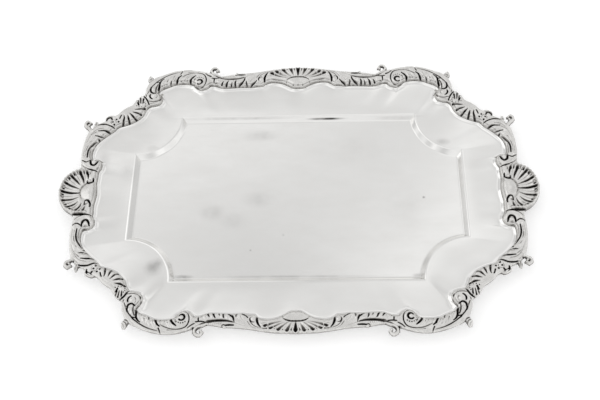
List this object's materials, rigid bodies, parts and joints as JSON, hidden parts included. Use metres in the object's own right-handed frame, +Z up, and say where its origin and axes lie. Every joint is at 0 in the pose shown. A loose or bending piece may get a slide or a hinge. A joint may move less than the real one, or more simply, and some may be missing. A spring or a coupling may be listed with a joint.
{
  "type": "salver",
  "caption": "Oblong silver serving salver with a stepped well, concave well corners and a cast border of shells, scrolls and leaves.",
  "frame": {"origin": "on the table plane, under the middle of the well", "axes": "+X along the long way of the tray to the right end shell, +Y to the back side shell, +Z up"},
  "size_m": [0.5286, 0.34, 0.0229],
  "materials": {
    "sheet_silver": "polished, with fine wear scratches",
    "cast_silver": "polished on the high parts, dark oxidised silver in the recesses"
  },
  "bodies": {
    "root": {"tray_body": "sheet_silver", "side_shell_back": "cast_silver", "side_shell_front": "cast_silver", "end_shell_right": "cast_silver", "end_shell_left": "cast_silver", "side_leaf_back_right": "cast_silver", "side_leaf_back_left": "cast_silver", "side_leaf_front_right": "cast_silver", "side_leaf_front_left": "cast_silver", "volute_leaf_back_right": "cast_silver", "volute_leaf_back_left": "cast_silver", "volute_leaf_front_right": "cast_silver", "volute_leaf_front_left": "cast_silver", "corner_scroll_back_right": "cast_silver", "corner_scroll_back_left": "cast_silver", "corner_scroll_front_right": "cast_silver", "corner_scroll_front_left": "cast_silver", "corner_shell_back_right": "cast_silver", "corner_shell_back_left": "cast_silver", "corner_shell_front_right": "cast_silver", "corner_shell_front_left": "cast_silver", "end_scroll_back_right": "cast_silver", "end_scroll_back_left": "cast_silver", "end_scroll_front_right": "cast_silver", "end_scroll_front_left": "cast_silver"}
  },
  "joints": []
}
